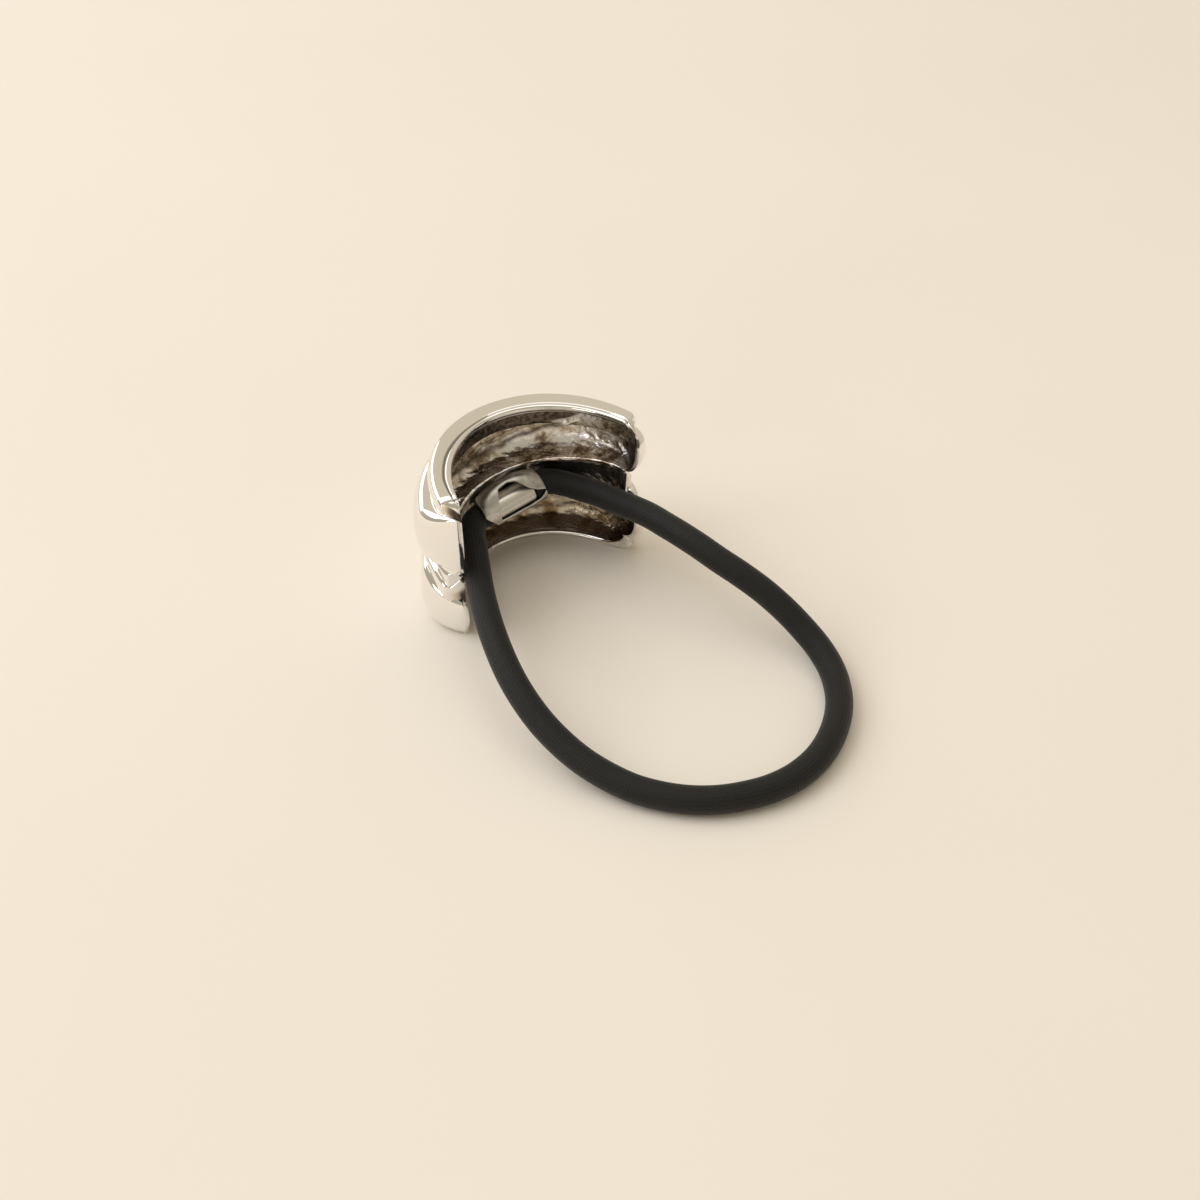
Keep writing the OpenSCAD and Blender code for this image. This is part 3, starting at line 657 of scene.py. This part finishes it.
folded_sheet, tree, shader = new_finish("folded_sheet")
worn = put(tree, "ShaderNodeGroup", {"node_tree": worn_metal}, Scale=700.0, Detail=5.0, Grain=0.6,
           Place=put(tree, "ShaderNodeTexCoord").outputs["Object"], Low=0.3, High=0.65, Wear=0.3,
           Dark=(0.42, 0.40, 0.37, 1), Light=(0.72, 0.70, 0.66, 1)).outputs
tree.links.new(worn["Tone"], shader.inputs["Base Color"])
tree.links.new(worn["Roughness"], shader.inputs["Roughness"])
shader.inputs["Metallic"].default_value = 1
bump = put(tree, "ShaderNodeBump", Strength=0.3, Distance=0.0001, Height=worn["Height"])
tree.links.new(bump.outputs[0], shader.inputs["Normal"])
clamp.data.materials.append(folded_sheet)
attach(clamp, "root")
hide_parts("elastic_clamp")

# Ferrule
# A short bright metal tube crimped over the elastic's two ends, with the seam it was rolled from.
ferrule_len, ferrule_t, ferrule_r = 8, 0.4, clamp_in - 0.1
seam_at, seam_width, seam_depth = 18, 7, 0.3
ferrule_sides, middle_rings, bore_rings, edge_r, middle_clear = 72, 25, 9, 0.15, 0.3
ferrule_half = ferrule_len / 2
inside_r = ferrule_r - ferrule_t
a = -2 * np.pi * np.arange(ferrule_sides) / ferrule_sides
corner = np.radians(np.linspace(0, 90, 5))
rounded = np.column_stack([ferrule_half - edge_r + edge_r * np.sin(corner),
                           ferrule_r - edge_r + edge_r * np.cos(corner)])
middle_half = ferrule_half - middle_clear
middle = np.column_stack([np.linspace(-middle_half, middle_half, middle_rings),
                          np.full(middle_rings, ferrule_r)])
bore = np.column_stack([np.linspace(ferrule_half, -ferrule_half, bore_rings),
                        np.full(bore_rings, inside_r)])
profile = np.vstack([rounded[::-1] * [-1, 1], middle, rounded, bore])
# The seam is a soft groove along the tube, seam_width degrees wide and seam_depth deep
gap = np.degrees(a) - seam_at
seam = seam_depth * soft_line((gap + 180) % 360 - 180, seam_width / 2 * math.sqrt(2))
r = np.where(profile[:, 1:2] > inside_r, np.minimum(profile[:, 1:2], ferrule_r - seam[None, :]), inside_r)
tube = at_clamp(np.stack([profile[:, :1] + 0 * r, -r * np.cos(a), r * np.sin(a)], axis=-1))
uv = np.stack([np.arange(ferrule_sides + 1)[None, :] / ferrule_sides + 0 * profile[:, :1],
               profile[:, :1] / 10 + np.zeros((1, ferrule_sides + 1))], axis=-1)
low = np.arange(ferrule_sides)
high = low + (len(profile) - 1) * ferrule_sides
joint = np.stack([high, np.roll(high, -1), np.roll(low, -1), low], axis=-1)
ferrule = grid_piece("ferrule_tube", tube, uv, joint.tolist())

ferrule_metal, tree, shader = new_finish("ferrule_metal")
worn = put(tree, "ShaderNodeGroup", {"node_tree": worn_metal}, Scale=900.0, Detail=4.0, Grain=0.5,
           Place=put(tree, "ShaderNodeTexCoord").outputs["Object"], Low=0.0, High=1.0, Wear=0.25,
           Dark=(0.62, 0.60, 0.55, 1), Light=(0.88, 0.86, 0.80, 1)).outputs
tree.links.new(worn["Tone"], shader.inputs["Base Color"])
tree.links.new(worn["Roughness"], shader.inputs["Roughness"])
shader.inputs["Metallic"].default_value = 1
ferrule.data.materials.append(ferrule_metal)
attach(ferrule, "root")
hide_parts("ferrule")

# Table
# A plain matte cream board, wide enough to fill the picture.
table_half = 1.5
mesh = bpy.data.meshes.new("table")
mesh.from_pydata([(-table_half, -table_half, 0), (table_half, -table_half, 0),
                  (table_half, table_half, 0), (-table_half, table_half, 0)], [], [(0, 1, 2, 3)])
table = bpy.data.objects.new("table", mesh)
scene.collection.objects.link(table)
cream_board, tree, shader = new_finish("cream_board")
where = put(tree, "ShaderNodeTexCoord").outputs["Object"]
cloud = put(tree, "ShaderNodeTexNoise", Vector=where, Scale=9.0, Detail=2.0).outputs[0]
tree.links.new(ramp_of(tree, cloud, (0, (0.85, 0.785, 0.70)), (1, (0.89, 0.83, 0.75))),
               shader.inputs["Base Color"])
shader.inputs["Roughness"].default_value = 0.8
shader.inputs["Specular IOR Level"].default_value = 0.2
table.data.materials.append(cream_board)

# Light
# A large soft window behind the cuff on the left, a low strip behind it, a small window at its left
# and a wide ceiling, in a room that is bright and cream behind and above the cuff and dim in front.
def panel(name, spot, wide, high, power, colour):
    """A rectangular area light, facing the cuff."""
    lamp = bpy.data.lights.new(name, "AREA")
    lamp.shape = "RECTANGLE"
    lamp.size = wide
    lamp.size_y = high
    lamp.energy = power
    lamp.color = colour
    light = bpy.data.objects.new(name, lamp)
    light.location = spot
    light.rotation_euler = (-Vector(spot)).to_track_quat("-Z", "Y").to_euler()
    scene.collection.objects.link(light)


panel("window", (-0.85, 0.65, 1.1), 1.2, 1.2, 11.5, (0.9, 0.93, 1))
panel("low_window", (-0.27, 1.25, 0.42), 1.1, 0.5, 2, (1, 0.98, 0.95))
panel("side_window", (-1.25, -0.45, 0.25), 0.45, 0.3, 1.2, (1, 0.99, 0.98))
panel("ceiling", (0, 0.2, 1.4), 1.5, 1.5, 4.8, (1, 0.98, 0.97))
world = bpy.data.worlds.new("room")
world.use_nodes = True
tree = world.node_tree
bright_side = (0.35, 0.62, 0.7)
way = put(tree, "ShaderNodeTexCoord").outputs["Generated"]
nearness = put(tree, "ShaderNodeVectorMath", {"operation": "DOT_PRODUCT"}, a=way, b=bright_side)
walls = ramp_of(tree, nearness.outputs["Value"], (0, (0.42, 0.38, 0.30)), (0.5, (0.55, 0.50, 0.40)),
                (0.95, (0.64, 0.56, 0.44)))
tree.links.new(walls, tree.nodes["Background"].inputs["Color"])
scene.world = world
scene.view_settings.view_transform = "Standard"
